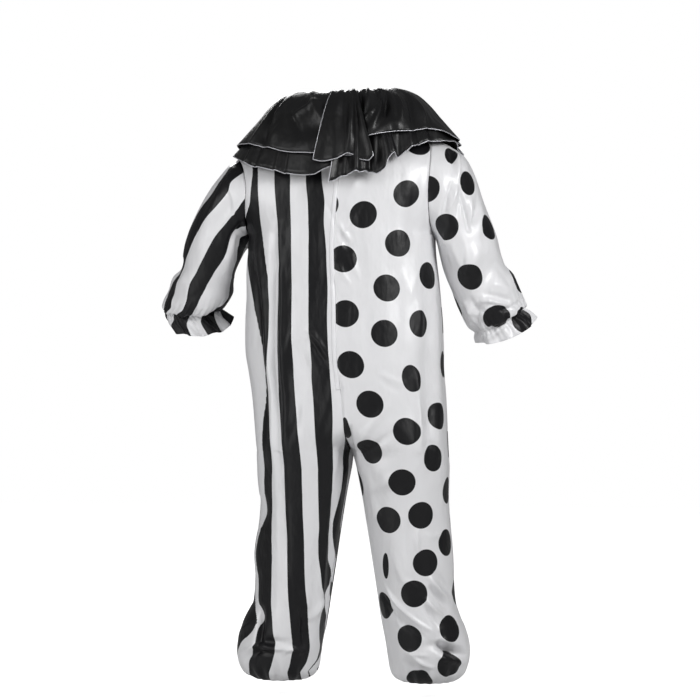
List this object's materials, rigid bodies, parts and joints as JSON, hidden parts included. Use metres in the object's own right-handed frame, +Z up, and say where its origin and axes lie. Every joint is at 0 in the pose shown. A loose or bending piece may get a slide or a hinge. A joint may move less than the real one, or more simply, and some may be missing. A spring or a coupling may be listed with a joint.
{
  "type": "clown costume",
  "caption": "Loose worn clown suit in striped and dotted satin, open at neck, cuffs and ankles, with a two-layer black ruffle collar.",
  "frame": {"origin": "centre of the neck opening, level with the suit's neck edge at the back and sides", "axes": "+X towards the wearer's left, -Y towards the front, +Z up"},
  "size_m": [1.0023, 0.4199, 1.5391],
  "materials": {
    "striped_satin": "satin with broad black and white stripes",
    "dotted_satin": "white satin with large black dots",
    "black_satin": "black satin with a silver overlocked hem"
  },
  "bodies": {
    "root": {"back_left": "striped_satin", "back_right": "dotted_satin", "front_left": "striped_satin", "front_right": "dotted_satin", "sleeve_left": "striped_satin", "sleeve_right": "dotted_satin", "back_placket": "striped_satin", "collar_band": "black_satin", "collar_upper": "black_satin", "collar_lower": "black_satin"}
  },
  "joints": []
}
